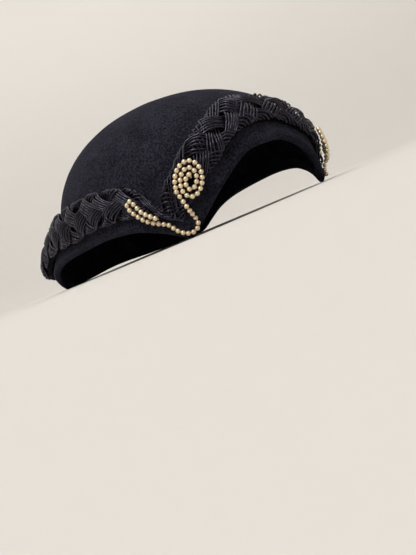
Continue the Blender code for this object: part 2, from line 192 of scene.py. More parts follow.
@dataclass(frozen=True)
class HatForm:
    """The form of the felt and the run of the band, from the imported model's own sizes."""

    crown_half_width: float = 79.8 * MM
    crown_half_length: float = 95.3 * MM
    crown_rise: float = 69.2 * MM
    crown_middle: float = -14.1 * MM
    widest_level: float = 24.6 * MM
    crown_lean: float = math.radians(3.4)
    crown_fullness: float = 2.04
    brow_fullness: float = 2.18
    brow_squareness: float = 2.3
    temple_angle: float = math.radians(41.1)
    front_arch: float = 36.2 * MM
    side_arch: float = 19.6 * MM
    flare: float = 19.0 * MM
    flare_top: float = 42.0 * MM
    flare_bottom: float = 11.0 * MM
    flare_tuck: float = 2.5 * MM
    flare_start_angle: float = math.radians(88.0)
    flare_full_angle: float = math.radians(142.0)
    slope_angle: float = 0.002

    # Felt edge: position, then height as a share of front_arch up to 1 and of side_arch past it
    edge_line: tuple[Row, ...] = (
        (0.00, 1.00), (0.18, 0.985), (0.33, 0.885), (0.57, 0.615),
        (0.82, 0.255), (1.00, 0.00), (1.045, 0.34), (1.10, 0.63),
        (1.165, 0.86), (1.28, 0.995), (1.42, 0.985), (1.52, 0.93),
        (1.58, 0.84), (1.63, 0.66), (1.67, 0.38), (1.70, 0.12),
        (1.73, -0.03), (1.80, -0.04), (1.88, 0.05), (2.00, 0.15),
    )

    def angle_at(self, position: float) -> float:
        """Return the angle from centre front of a position."""
        size = abs(position)
        if size <= 1.0:
            angle = size * self.temple_angle
        else:
            angle = blend(self.temple_angle, math.pi, size - 1.0)
        return math.copysign(angle, position)

    def edge_height(self, position: float) -> float:
        """Return the height of the felt's edge at a position."""
        size = abs(position)
        arch = self.front_arch if size <= 1.0 else self.side_arch
        return max(arch * read_table(self.edge_line, size, 1, corner=1.0), 0.0)

    def plan_radius(self, angle: float) -> float:
        """Return the crown's radius at its widest level, where the brow is a little square."""
        power = blend(self.crown_fullness, self.brow_squareness, ease(math.cos(angle)))
        across = abs(math.sin(angle) / self.crown_half_width)
        along = abs(math.cos(angle) / self.crown_half_length)
        return (across**power + along**power) ** (-1.0 / power)

    def fullness_at(self, angle: float) -> float:
        """Return the exponent of the crown's profile, which is fuller over the brow."""
        return blend(self.crown_fullness, self.brow_fullness, ease(math.cos(angle)))

    def rise_at(self, angle: float, height: float) -> float:
        """Return the rise angle at a height: 0 at the widest level, a right angle on top."""
        lean = math.tan(self.crown_lean) * self.plan_radius(angle) * math.cos(angle)
        share = (height + lean - self.widest_level) / self.crown_rise
        if share <= 0.0:
            return share
        return math.asin(min(share, 1.0) ** (self.fullness_at(angle) / 2.0))

    def flare_share(self, angle: float) -> float:
        """Return how much of the flare an angle has: none at the sides, all at the back."""
        reach = self.flare_full_angle - self.flare_start_angle
        return ease((abs(angle) - self.flare_start_angle) / reach)

    def felt_point(self, angle: float, rise: float) -> Vector:
        """Return a point of the felt's outer face, at an angle from the front and a rise angle."""
        side, ahead = math.sin(angle), math.cos(angle)
        radius = self.plan_radius(angle)
        height = self.widest_level + self.crown_rise * rise
        if rise > 0.0:
            power = 2.0 / self.fullness_at(angle)
            radius *= max(math.cos(rise), 0.0) ** power
            height = self.widest_level + self.crown_rise * math.sin(rise) ** power
        height -= math.tan(self.crown_lean) * radius * ahead
        drop = (self.flare_top - height) / (self.flare_top - self.flare_bottom)
        tuck = 1.0 - height / self.flare_bottom
        spread = self.flare * ease(drop) - self.flare_tuck * ease(tuck)
        radius += spread * self.flare_share(angle)
        return Vector((-side * radius, self.crown_middle - ahead * radius, height))

    def felt_normal(self, angle: float, rise: float) -> Vector:
        """Return the outward direction of the felt's outer face."""
        step = self.slope_angle
        across = self.felt_point(angle + step, rise) - self.felt_point(angle - step, rise)
        top = self.felt_point(angle, min(rise + step, math.pi / 2))
        return (top - self.felt_point(angle, rise - step)).cross(across).normalized()

    def off_felt(self, angle: float, height: float, lift: float) -> tuple[Vector, Vector]:
        """Find a point at a distance from the felt.

        Args:
            angle: Angle from centre front.
            height: Height of the place on the felt's outer face.
            lift: Distance from that face, outwards if positive.

        Returns:
            The point, and the felt's outward direction there.
        """
        rise = self.rise_at(angle, height)
        outward = self.felt_normal(angle, rise)
        return self.felt_point(angle, rise) + outward * lift, outward


# ---------------------------------------------------------------- meshes


def smooth_piece(
    name: str, mesh: bmesh.types.BMesh, material: bpy.types.Material
) -> bpy.types.Object:
    """Turn a mesh under way into a smooth piece.

    Args:
        name: The piece's name.
        mesh: The mesh, which is freed.
        material: What the piece is made of.

    Returns:
        The new object, at the origin.
    """
    bmesh.ops.recalc_face_normals(mesh, faces=mesh.faces)
    data = bpy.data.meshes.new(name)
    mesh.to_mesh(data)
    mesh.free()
    data.materials.append(material)
    data.shade_smooth()
    piece = bpy.data.objects.new(name, data)
    bpy.context.scene.collection.objects.link(piece)
    return piece


class Shape:
    """A mesh under way, made of grids laid over lines of points and of beads."""

    def __init__(self) -> None:
        """Start an empty mesh with a UV map."""
        self.mesh = bmesh.new()
        self.mesh.loops.layers.uv.new("UVMap")

    def lay_grid(self, lines: Sequence[Sequence[Vector]]) -> None:
        """Lay a grid over lines of points, and close it where lines or points meet.

        Args:
            lines: Lines of as many points each, in order. UV x runs from line to line.
        """
        columns, rows = len(lines) - 1, len(lines[0]) - 1
        made = bmesh.ops.create_grid(
            self.mesh, x_segments=columns, y_segments=rows, size=1.0, calc_uvs=True
        )
        for vert in made["verts"]:
            column = round((vert.co.x + 1.0) / 2.0 * columns)
            row = round((vert.co.y + 1.0) / 2.0 * rows)
            vert.co = lines[column][row]
        bmesh.ops.remove_doubles(self.mesh, verts=made["verts"], dist=WELD)

    def lay_tube(
        self,
        centres: Sequence[Vector],
        outwards: Sequence[Vector],
        radii: Sequence[float],
        sides: int,
        closed: bool = False,
    ) -> None:
        """Lay a round tube along a path.

        Args:
            centres: Close points along the path.
            outwards: A direction at each point from which the tube's sides are counted.
            radii: The tube's radius at each point.
            sides: How many sides the tube has.
            closed: Whether the path runs back into its start.
        """
        last = len(centres) - 1
        lines = []
        for index, (centre, outward, radius) in enumerate(zip(centres, outwards, radii)):
            before = centres[index - 1 if index or closed else 0]
            after = centres[(index + 1) % len(centres) if closed else min(index + 1, last)]
            along = (after - before).normalized()
            first = (outward - along * outward.dot(along)).normalized() * radius
            second = along.cross(first)
            turns = [math.tau * side / sides for side in range(sides)] + [0.0]
            lines.append(
                [centre + first * math.cos(turn) + second * math.sin(turn) for turn in turns]
            )
        if closed:
            lines.append(lines[0])
        else:
            lines = [[centres[0]] * (sides + 1), *lines, [centres[-1]] * (sides + 1)]
        self.lay_grid(lines)

    def lay_bead(self, centre: Vector, along: Vector, radius: float) -> None:
        """Lay a round bead with its drilled hole along a direction."""
        turned = along.to_track_quat("Z", "Y").to_matrix().to_4x4()
        bmesh.ops.create_uvsphere(
            self.mesh,
            u_segments=14,
            v_segments=9,
            radius=radius,
            matrix=Matrix.Translation(centre) @ turned,
            calc_uvs=True,
        )

    def finished(self, name: str, material: bpy.types.Material) -> bpy.types.Object:
        """Turn the mesh into a smooth piece of a material, and return it."""
        return smooth_piece(name, self.mesh, material)


# ---------------------------------------------------------------- finishes


def put(socket: bpy.types.NodeSocket, value: object) -> None:
    """Give an input its value: an output to join, a colour or a number."""
    if isinstance(value, bpy.types.NodeSocket):
        socket.id_data.links.new(value, socket)
    else:
        socket.default_value = (*value, 1.0) if isinstance(value, tuple) else value


def set_values(node: bpy.types.Node, **values: object) -> None:
    """Set a node's properties, or its inputs by name with _ for a space."""
    for name, value in values.items():
        if hasattr(node, name):
            setattr(node, name, value)
        else:
            put(node.inputs[name.replace("_", " ")], value)


class NodeSheet:
    """A node tree with short calls for adding and joining nodes."""

    # A colour Mix node's sockets: its share and its two colours, and its result
    MIX_INPUTS = (0, 6, 7)
    MIX_OUTPUT = 2

    def __init__(self, tree: bpy.types.NodeTree) -> None:
        """Work on a node tree."""
        self.tree = tree

    def add(self, kind: str, **values: object) -> bpy.types.Node:
        """Add a node of a type, set values on it and return it."""
        node = self.tree.nodes.new(kind)
        set_values(node, **values)
        return node

    def math(self, operation: str, *values: object) -> bpy.types.NodeSocket:
        """Add a Math node whose inputs are numbers or outputs, and return its output."""
        node = self.add("ShaderNodeMath", operation=operation)
        for socket, value in zip(node.inputs, values):
            put(socket, value)
        return node.outputs[0]

    def mix(self, share: object, dark: object, light: object) -> bpy.types.NodeSocket:
        """Add a colour Mix node whose inputs are values or outputs, and return its output."""
        node = self.add("ShaderNodeMix", data_type="RGBA")
        for index, value in zip(self.MIX_INPUTS, (share, dark, light)):
            put(node.inputs[index], value)
        return node.outputs[self.MIX_OUTPUT]

    def spread(self, value: bpy.types.NodeSocket, low: float, high: float) -> bpy.types.NodeSocket:
        """Stretch a value so that low becomes 0 and high 1, and return the output."""
        node = self.add("ShaderNodeMapRange", Value=value, From_Min=low, From_Max=high)
        return node.outputs[0]

    def bump(
        self, height: bpy.types.NodeSocket, strength: float, depth: float
    ) -> bpy.types.NodeSocket:
        """Add a Bump node for a height from 0 to 1 times a depth, and return its normal."""
        node = self.add("ShaderNodeBump", Height=height, Strength=strength, Distance=depth)
        return node.outputs[0]


class Effects:
    """Node groups that more than one finish uses, each built once."""

    def __init__(self) -> None:
        """Build the groups."""
        self.mottle = self.build_mottle()
        self.twist = self.build_twist()

    def start(self, name: str, inputs: Sequence[str], output: str) -> NodeSheet:
        """Start a group that takes a vector and then numbers, and gives one number."""
        tree = bpy.data.node_groups.new(name, "ShaderNodeTree")
        for index, label in enumerate(inputs):
            kind = "NodeSocketFloat" if index else "NodeSocketVector"
            tree.interface.new_socket(label, in_out="INPUT", socket_type=kind)
        tree.interface.new_socket(output, in_out="OUTPUT", socket_type="NodeSocketFloat")
        return NodeSheet(tree)

    def build_mottle(self) -> bpy.types.NodeTree:
        """Build the group for fibre that is uneven at two scales, as dyed wool and silk are."""
        sheet = self.start("fibre_mottle", ("Place", "Fine", "Broad"), "Mottle")
        given = sheet.add("NodeGroupInput")
        noises = []
        for label, detail, rough in (("Fine", 3.0, 0.65), ("Broad", 2.0, 0.5)):
            node = sheet.add("ShaderNodeTexNoise", Vector=given.outputs["Place"])
            set_values(node, Scale=given.outputs[label], Detail=detail, Roughness=rough)
            noises.append(node.outputs[0])
        patches = sheet.math("MULTIPLY", noises[1], 0.2)
        both = sheet.math("MULTIPLY_ADD", noises[0], 0.8, patches)
        sheet.add("NodeGroupOutput", Mottle=both)
        return sheet.tree

    def build_twist(self) -> bpy.types.NodeTree:
        """Build the group for yarn laid round a cord, as ridges that run round its UV map."""
        sheet = self.start("yarn_twist", ("UV", "Turns", "Yarns"), "Ridge")
        given = sheet.add("NodeGroupInput")
        parts = sheet.add("ShaderNodeSeparateXYZ", Vector=given.outputs["UV"])
        along = sheet.math("MULTIPLY", parts.outputs[0], given.outputs["Turns"])
        round_it = sheet.math("MULTIPLY", parts.outputs[1], given.outputs["Yarns"])
        turn = sheet.math("MULTIPLY", sheet.math("ADD", along, round_it), math.tau)
        ridge = sheet.math("MULTIPLY_ADD", sheet.math("SINE", turn), 0.5, 0.5)
        sheet.add("NodeGroupOutput", Ridge=ridge)
        return sheet.tree


@dataclass(frozen=True)
class Finish:
    """What every finish has: its name and the two colours between which it varies."""

    name: str
    dark: Colour
    light: Colour

    def start(self) -> tuple[bpy.types.Material, NodeSheet, bpy.types.Node, object]:
        """Start the material, and return it, its sheet, its shader and its coordinates."""
        material = bpy.data.materials.new(self.name)
        material.use_nodes = True
        sheet = NodeSheet(material.node_tree)
        coords = sheet.add("ShaderNodeTexCoord")
        return material, sheet, sheet.tree.nodes["Principled BSDF"], coords.outputs


@dataclass(frozen=True)
class FeltFinish(Finish):
    """Dense navy wool felt with a short nap."""

    name: str = "navy_felt_nap"
    dark: Colour = (0.0036, 0.0038, 0.0064)
    light: Colour = (0.021, 0.0213, 0.033)
    bloom: Colour = (0.30, 0.30, 0.44)
    fibre_scale: float = 850.0
    patch_scale: float = 90.0
    hair_stretch: float = 1.4
    contrast: tuple[float, float] = (0.42, 0.60)
    nap_depth: float = 0.25 * MM

    def material(self, effects: Effects) -> bpy.types.Material:
        """Return the material."""
        material, sheet, shader, coords = self.start()
        group = sheet.add("ShaderNodeGroup", node_tree=effects.mottle, Place=coords["Object"])
        set_values(group, Fine=self.fibre_scale, Broad=self.patch_scale)
        share = sheet.spread(group.outputs[0], *self.contrast)
        hairs = sheet.add("ShaderNodeTexNoise", Vector=coords["Object"], Detail=4.0)
        set_values(hairs, Scale=self.fibre_scale * self.hair_stretch, Distortion=1.2)
        set_values(
            shader,
            Base_Color=sheet.mix(share, self.dark, self.light),
            Roughness=sheet.math("MULTIPLY_ADD", share, -0.12, 0.98),
            Normal=sheet.bump(hairs.outputs[0], 0.55, self.nap_depth),
            Sheen_Weight=0.07,
            Sheen_Roughness=0.5,
            Sheen_Tint=self.bloom,
            Specular_IOR_Level=0.06,
        )
        return material


@dataclass(frozen=True)
class CordFinish(Finish):
    """Smooth satin cord, near black with a violet-grey light along it."""

    name: str = "navy_satin_cord"
    dark: Colour = (0.0008, 0.0007, 0.0013)
    light: Colour = (0.0050, 0.0045, 0.0080)
    gloss: Colour = (0.76, 0.72, 1.0)
    turns: float = 420.0
    yarns: float = 3.0
    fibre_scale: float = 900.0
    patch_scale: float = 140.0
    ridge_depth: float = 0.08 * MM

    def material(self, effects: Effects) -> bpy.types.Material:
        """Return the material."""
        material, sheet, shader, coords = self.start()
        twist = sheet.add("ShaderNodeGroup", node_tree=effects.twist, UV=coords["UV"])
        set_values(twist, Turns=self.turns, Yarns=self.yarns)
        group = sheet.add("ShaderNodeGroup", node_tree=effects.mottle, Place=coords["Object"])
        set_values(group, Fine=self.fibre_scale, Broad=self.patch_scale)
        ridge, mottle = twist.outputs[0], group.outputs[0]
        # The base colour mixes random tone with painted shade that darkens the grooves between the
        # twisted yarns.
        mottle_and_groove_shade = sheet.math("MULTIPLY_ADD", ridge, 0.35, sheet.math("MULTIPLY", mottle, 0.8))
        set_values(
            shader,
            Base_Color=sheet.mix(mottle_and_groove_shade, self.dark, self.light),
            Roughness=sheet.math("MULTIPLY_ADD", mottle, 0.14, 0.27),
            Normal=sheet.bump(ridge, 0.5, self.ridge_depth),
            Sheen_Weight=0.01,
            Sheen_Roughness=0.3,
            Sheen_Tint=self.gloss,
            Specular_IOR_Level=0.52,
            Specular_Tint=self.gloss,
        )
        return material


@dataclass(frozen=True)
class PearlFinish(Finish):
    """Imitation pearl: champagne lacquer over a round bead, with painted shade where its drilled hole
    would be.
    """

    name: str = "champagne_pearl"
    dark: Colour = (0.60, 0.46, 0.27)
    light: Colour = (0.80, 0.70, 0.53)
    # hole: painted shade that stands in for the drilled hole and the shade inside it, which the bead
    # mesh does not have
    hole: Colour = (0.22, 0.14, 0.07)
    fibre_scale: float = 1100.0
    patch_scale: float = 320.0
    contrast: tuple[float, float] = (0.3, 0.62)
    hole_shade_span: tuple[float, float] = (0.38, 0.48)
    dent_depth: float = 0.05 * MM

    def material(self, effects: Effects) -> bpy.types.Material:
        """Return the material."""
        material, sheet, shader, coords = self.start()
        group = sheet.add("ShaderNodeGroup", node_tree=effects.mottle, Place=coords["Object"])
        set_values(group, Fine=self.fibre_scale, Broad=self.patch_scale)
        share = sheet.spread(group.outputs[0], *self.contrast)
        parts = sheet.add("ShaderNodeSeparateXYZ", Vector=coords["UV"])
        # Painted shade: towards both ends of the hole, at the UV map's poles, the base colour darkens
        # to the hole colour.
        off_middle = sheet.math("ABSOLUTE", sheet.math("SUBTRACT", parts.outputs[1], 0.5))
        painted_hole_shade = sheet.spread(off_middle, *self.hole_shade_span)
        body = sheet.mix(share, self.dark, self.light)
        set_values(
            shader,
            Base_Color=sheet.mix(painted_hole_shade, body, self.hole),
            Roughness=sheet.math("MULTIPLY_ADD", share, -0.10, 0.38),
            Normal=sheet.bump(group.outputs[0], 0.12, self.dent_depth),
            Metallic=0.55,
            Coat_Weight=0.8,
            Coat_Roughness=0.22,
            Coat_IOR=1.9,
            Coat_Tint=(1.0, 0.95, 0.85),
            Specular_IOR_Level=0.6,
        )
        return material


@dataclass(frozen=True)
class ThreadFinish(Finish):
    """Pale twisted thread that the beads are strung on, with painted shade in the grooves between its
    yarns.
    """

    name: str = "champagne_thread"
    # dark: painted shade in the grooves between the yarns; light: the thread's colour on its ridges
    dark: Colour = (0.34, 0.26, 0.16)
    light: Colour = (0.62, 0.52, 0.36)
    turns: float = 90.0
    yarns: float = 2.0
    ridge_depth: float = 0.1 * MM

    def material(self, effects: Effects) -> bpy.types.Material:
        """Return the material."""
        material, sheet, shader, coords = self.start()
        twist = sheet.add("ShaderNodeGroup", node_tree=effects.twist, UV=coords["UV"])
        set_values(twist, Turns=self.turns, Yarns=self.yarns)
        ridge = twist.outputs[0]
        set_values(
            shader,
            # Painted shade: the base colour is dark in the grooves between the twisted yarns and
            # light on their ridges.
            Base_Color=sheet.mix(ridge, self.dark, self.light),
            Normal=sheet.bump(ridge, 0.6, self.ridge_depth),
            Roughness=0.7,
            Sheen_Weight=0.2,
        )
        return material


@dataclass(frozen=True)
class StudioFinish(Finish):
    """Pale matt floor that grows a little lighter where it turns up into the wall."""

    name: str = "pale_floor"
    dark: Colour = (0.62, 0.60, 0.57)
    light: Colour = (0.80, 0.78, 0.75)
    full_height: float = 0.8

    def material(self) -> bpy.types.Material:
        """Return the material."""
        material, sheet, shader, coords = self.start()
        parts = sheet.add("ShaderNodeSeparateXYZ", Vector=coords["Object"])
        clouds = sheet.add("ShaderNodeTexNoise", Vector=coords["Object"], Scale=3.0, Detail=2.0)
        rising = sheet.add("ShaderNodeMapRange", Value=parts.outputs[2], From_Max=self.full_height)
        rising.interpolation_type = "SMOOTHSTEP"
        share = sheet.math("MULTIPLY_ADD", clouds.outputs[0], 0.08, rising.outputs[0])
        base = sheet.mix(share, self.dark, self.light)
        set_values(shader, Base_Color=base, Roughness=0.9, Specular_IOR_Level=0.2)
        return material


# ---------------------------------------------------------------- pieces


@dataclass
class FeltCap:
    """The felt: a hollow crown with its raw edge turned in all the way round."""

    form: HatForm
    wall: float = 2.0 * MM
    fold_thickness: float = 4.0 * MM
    fold_height: float = 9.0 * MM
    fold_step: float = 1.3 * MM
    fold_swell: float = 0.55 * MM
    swell_height: float = 7.0 * MM
    tip_rounding: float = 1.2 * MM
    hand_dent: float = 0.35 * MM
    dents: tuple[Row, ...] = ((32.0, 0.75), (110.0, 0.25))  # noise scale, share
    dent_growth: float = 4.0  # how fast the dents grow away from the top
    front_columns: int = 46
    side_columns: int = 112
    outer_rows: int = 66
    edge_rows: int = 8
    hem_rows: int = 5
    inner_rows: int = 34

    def positions(self) -> list[float]:
        """Return the positions of the felt's columns, once round and back to the start."""
        half = [column / self.front_columns for column in range(self.front_columns)]
        half += [1.0 + column / self.side_columns for column in range(self.side_columns + 1)]
        return half + [-position for position in reversed(half[:-1])]

    def dented(self, point: Vector, outward: Vector) -> Vector:
        """Return a point moved by the slight unevenness of hand-blocked felt."""
        depth = sum(share * noise.noise(point * scale) for scale, share in self.dents)
        return point + outward * self.hand_dent * depth

    def column(self, position: float) -> list[Vector]:
        """Find the points of one column.

        Args:
            position: Where round the hat the column is.

        Returns:
            The points from the top down the outer face, round the edge and up the inner face.
        """
        form = self.form
        angle = form.angle_at(position)
        rounding = self.tip_rounding
        edge = math.hypot(form.edge_height(position), rounding) - rounding
        radius = self.fold_thickness / 2
        start = form.rise_at(angle, edge + radius)
        points = []
        for row in range(self.outer_rows + 1):
            rise = blend(math.pi / 2, start, row / self.outer_rows)
            point, outward = form.felt_point(angle, rise), form.felt_normal(angle, rise)
            over_edge = (point.z - edge) / self.swell_height
            swell = self.fold_swell * math.sin(math.pi * over_edge) if over_edge < 1.0 else 0.0
            fade = min((math.pi / 2 - rise) * self.dent_growth, 1.0)
            dent = (self.dented(point, outward) - point) * fade * min(max(over_edge, 0.0), 1.0)
            points.append(point + dent + outward * swell)
        for row in range(1, self.edge_rows):
            turn = math.pi * row / self.edge_rows
            lift = radius * (math.cos(turn) - 1.0)
            point = form.off_felt(angle, edge + radius, lift)[0]
            point.z = edge + radius * (1.0 - math.sin(turn))
            points.append(point)
        hem_top = form.rise_at(angle, edge + self.fold_height)
        step_top = form.rise_at(angle, edge + self.fold_height + self.fold_step)
        hem = (start, hem_top, self.hem_rows, self.fold_thickness)
        inner = (step_top, math.pi / 2, self.inner_rows, self.wall)
        for low, high, rows, depth in (hem, inner):
            for row in range(rows + 1):
                rise = blend(low, high, row / rows)
                inward = form.felt_normal(angle, rise) * depth
                points.append(form.felt_point(angle, rise) - inward)
        return points

    def build(self, material: bpy.types.Material) -> bpy.types.Object:
        """Make the felt as one closed wall."""
        lines = [self.column(position) for position in self.positions()]
        top, ceiling = lines[0][0], Vector(lines[0][0]) - Vector((0.0, 0.0, self.wall))
        for line in lines:
            line[0], line[-1] = top, ceiling
        shape = Shape()
        shape.lay_grid(lines)
        piece = shape.finished("felt_crown", material)
        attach(piece, "root")
        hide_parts("felt_cap")
        return piece


@dataclass(frozen=True)
class Strand:
    """One strand of the plait: its place in the order and its own unevenness."""

    order: int
    sway: Wobble
    drift: Wobble
    puff: Wobble


@dataclass
class CordBand:
    """The band: a flat plait of strands, each of several cords side by side, over a padded tape."""

    form: HatForm
    width: float = 23.0 * MM
    thickness: float = 7.0 * MM
    edge_show: float = 10.0 * MM
    gap: float = 0.4 * MM
    flare_gap: float = 1.0 * MM
    edge_thickness: float = 0.45
    middle_thickness: float = 0.96
    edge_roundness: float = 0.6
    measure_steps: int = 400
    seed: int = 7

    # The plait: its cords, and how they fold over at the edges and dip under each other
    strands: int = 3
    cords: int = 6
    cord_radius: float = 0.63 * MM
    fold_pitch: float = 17.4 * MM
    fold_tightness: float = 0.988
    fold_inset: float = 0.035
    bunching: float = 0.12
    scallop: float = 0.045
    crossing_length: float = 0.25
    weave_depth: float = 1.15 * MM
    strand_crown: float = 0.8 * MM
    deepest: float = 0.6  # least height of a cord's middle over the underside, in its radii
    steps_a_turn: int = 56
    step_crowding: float = 0.5
    cord_sides: int = 8

    # Where a section rises less than crowded_rise, its cords are thinner and odd ones sink
    crowded_rise: float = 0.88
    crowded_span: float = 0.3
    crowded_size: float = 0.85
    crowded_sink: float = 0.9 * MM

    # Handwork: of a strand along and across the band and in height, then the same of a cord
    sway: Unevenness = (0.15, (7, 23))
    drift: Unevenness = (0.026, (9, 30))
    puff: Unevenness = (0.30 * MM, (20, 60))
    stray: Unevenness = (0.34 * MM, (15, 45))
    reach: Unevenness = (0.014, (12, 40))
    loft: Unevenness = (0.20 * MM, (25, 70))

    # The tape: its depth under the weave is in cord radii
    tape_inset: float = 0.05
    tape_depth: float = 2.6
    tape_least: float = 0.2 * MM
    tape_columns: int = 360
    tape_rows: int = 10

    # Sections: position of the lower edge, its distance from the felt edge as a share of edge_show,
    # degrees by which the upper edge leads, rise as a share of width, share of thickness
    sections: tuple[Row, ...] = (
        (0.00, 0.98, 0.0, 0.89, 1.00),
        (0.22, 0.93, 2.0, 0.87, 1.00),
        (0.39, 0.95, 5.6, 0.82, 1.00),
        (0.54, 0.95, 8.0, 0.75, 1.00),
        (0.71, 1.15, 8.0, 0.68, 0.93),
        (0.83, 1.11, 8.0, 0.67, 0.80),
        (0.95, 1.17, 7.0, 0.63, 0.68),
        (1.02, 0.96, 5.0, 0.53, 0.62),
        (1.06, 1.05, 1.5, 0.50, 0.62),
        (1.11, 0.95, -1.0, 0.70, 0.68),
        (1.16, 0.77, -1.0, 0.85, 0.74),
        (1.24, 0.70, -1.0, 0.92, 0.80),
        (1.37, 0.65, 0.0, 0.97, 0.88),
        (1.50, 0.50, 0.0, 1.06, 1.00),
        (1.63, 0.70, 0.0, 1.02, 1.25),
        (1.73, 1.00, 0.0, 0.93, 1.40),
        (1.86, 0.95, 0.0, 0.92, 1.35),
        (2.00, 0.90, 0.0, 0.92, 1.35),
    )
    rounds: list[tuple[float, float]] = field(default_factory=list)

    def thickness_at(self, position: float) -> float:
        """Return the band's thickness at a position."""
        return read_table(self.sections, abs(position), 4) * self.thickness

    def place(self, position: float, across: float, lift: float) -> tuple[Vector, Vector]:
        """Find a point on the band.

        Args:
            position: Where round the hat the band's lower edge is.
            across: Share of the way from the lower to the upper edge.
            lift: Distance from the band's underside.

        Returns:
            The point, and the outward direction there.
        """
        size, form = abs(position), self.form
        setback = read_table(self.sections, size, 1) * self.edge_show
        lead = math.radians(read_table(self.sections, size, 2))
        rise = read_table(self.sections, size, 3) * self.width
        angle = math.copysign(abs(form.angle_at(position)) + lead * across, position)
        gap = self.gap + self.flare_gap * form.flare_share(angle)
        height = form.edge_height(position) + setback + rise * across
        return form.off_felt(angle, height, gap + lift)

    def measure(self) -> float:
        """Measure the band once round along its middle and return its length."""
        steps = self.measure_steps
        length = 0.0
        last = self.place(0.0, 0.5, 0.0)[0]
        self.rounds = [(0.0, 0.0)]
        for step in range(1, 2 * steps + 1):
            position = CENTRE_BACK * step / steps
            point = self.place(wrapped(position), 0.5, 0.0)[0]
            length += (point - last).length
            self.rounds.append((length, position))
            last = point
        return length

    def position_at(self, length: float) -> float:
        """Return the position that lies a length round the band from centre front."""
        length %= self.rounds[-1][0]
        high = bisect_right(self.rounds, length, key=itemgetter(0))
        high = min(high, len(self.rounds) - 1)
        start, end = self.rounds[high - 1], self.rounds[high]
        share = (length - start[0]) / (end[0] - start[0])
        return wrapped(blend(start[1], end[1], share))

    def rounded(self, across: float) -> float:
        """Return the share of the thickness that the plait has at a share across."""
        inside = math.sin(math.pi * min(max(across, 0.0), 1.0)) ** self.edge_roundness
        return blend(self.edge_thickness, self.middle_thickness, inside)

    def across_at(self, turn: float) -> float:
        """Return a cord's place from -1 to 1 across the band: a turn starts at the lower edge."""
        tight = self.fold_tightness
        return -math.asin(tight * math.cos(math.tau * turn)) / math.asin(tight)

    def height_at(self, way: float, rank: float) -> float:
        """Find whether a cord lies over or under the cords that it crosses.

        Args:
            way: Share of the way from the edge where the cord last folded to the other edge.
            rank: The cord's place in its strand, from 0 to 1.

        Returns:
            1 over, -1 under, and between them where it dips.
        """
        under = 0.0
        spans = (((1.0 - rank) / 3.0, (2.0 - rank) / 3.0), ((3.0 - rank) / 3.0, 1.0))
        for start, end in spans:
            for shift in (-1.0, 0.0, 1.0):
                under += ease((way - start - shift) / self.crossing_length + 0.5)
                under -= ease((way - end - shift) / self.crossing_length + 0.5)
        return 1.0 - 2.0 * under

    def lay_cord(
        self, shape: Shape, strand: Strand, cord: int, turns: int, chance: random.Random
    ) -> None:
        """Lay one cord of a strand, which zigzags from edge to edge and folds over itself there.

        Args:
            shape: The mesh to lay it in.
            strand: The strand.
            cord: The cord's number in its strand.
            turns: How many times the cord zigzags in one round.
            chance: Where its own unevenness is drawn from.
        """
        total = self.rounds[-1][0]
        rank = (cord + 0.5) / self.cords
        off_middle = (2.0 * rank - 1.0) ** 2
        stray = Wobble.drawn(chance, *self.stray)
        loft = Wobble.drawn(chance, *self.loft)
        reach = Wobble.drawn(chance, *self.reach)
        centres, outwards, radii = [], [], []
        steps = turns * self.steps_a_turn
        for step in range(steps):
            turn = step / self.steps_a_turn
            turn -= self.step_crowding * math.sin(2.0 * math.tau * turn) / (2.0 * math.tau)
            share, way = turn / turns, 2.0 * turn % 1.0
            bunch = 1.0 - self.bunching * math.sin(math.pi * way) ** 2
            phase = strand.order + 0.5 + (rank - 0.5) * bunch + strand.sway.at(share)
            length = (turn + phase / self.strands) * total / turns + stray.at(share)
            position = self.position_at(length)
            reached = 0.5 - self.fold_inset - self.scallop * off_middle + reach.at(share)
            across = 0.5 + self.across_at(turn) * reached + strand.drift.at(share)
            local = read_table(self.sections, abs(position), 3)
            crowd = ease((self.crowded_rise - local) / self.crowded_span)
            radius = self.cord_radius * blend(1.0, self.crowded_size, crowd)
            height = self.height_at(way, rank)
            crown = self.strand_crown * (1.0 - off_middle) + strand.puff.at(share)
            crown *= max(height, 0.0)
            thickness = self.thickness_at(position) * self.rounded(across)
            lift = thickness - radius - self.weave_depth * (1.0 - height) + crown
            lift -= self.crowded_sink * crowd * (cord % 2)
            lift = max(lift + loft.at(share), radius * self.deepest)
            point, outward = self.place(position, across, lift)
            centres.append(point)
            outwards.append(outward)
            radii.append(radius)
        shape.lay_tube(centres, outwards, radii, self.cord_sides, closed=True)

    def build_strands(self, material: bpy.types.Material) -> list[bpy.types.Object]:
        """Make the strands of the plait, each as one piece."""
        total = self.measure()
        turns = round(total / (self.strands * self.fold_pitch))
        chance = random.Random(self.seed)
        pieces = []
        for order in range(self.strands):
            strand = Strand(
                order,
                sway=Wobble.drawn(chance, *self.sway),
                drift=Wobble.drawn(chance, *self.drift),
                puff=Wobble.drawn(chance, *self.puff),
            )
            shape = Shape()
            for cord in range(self.cords):
                self.lay_cord(shape, strand, cord, turns, chance)
            pieces.append(shape.finished(f"plaited_strand_{order + 1}", material))
        LOG.info("plait: %d turns round %.0f mm", turns, total / MM)
        return pieces

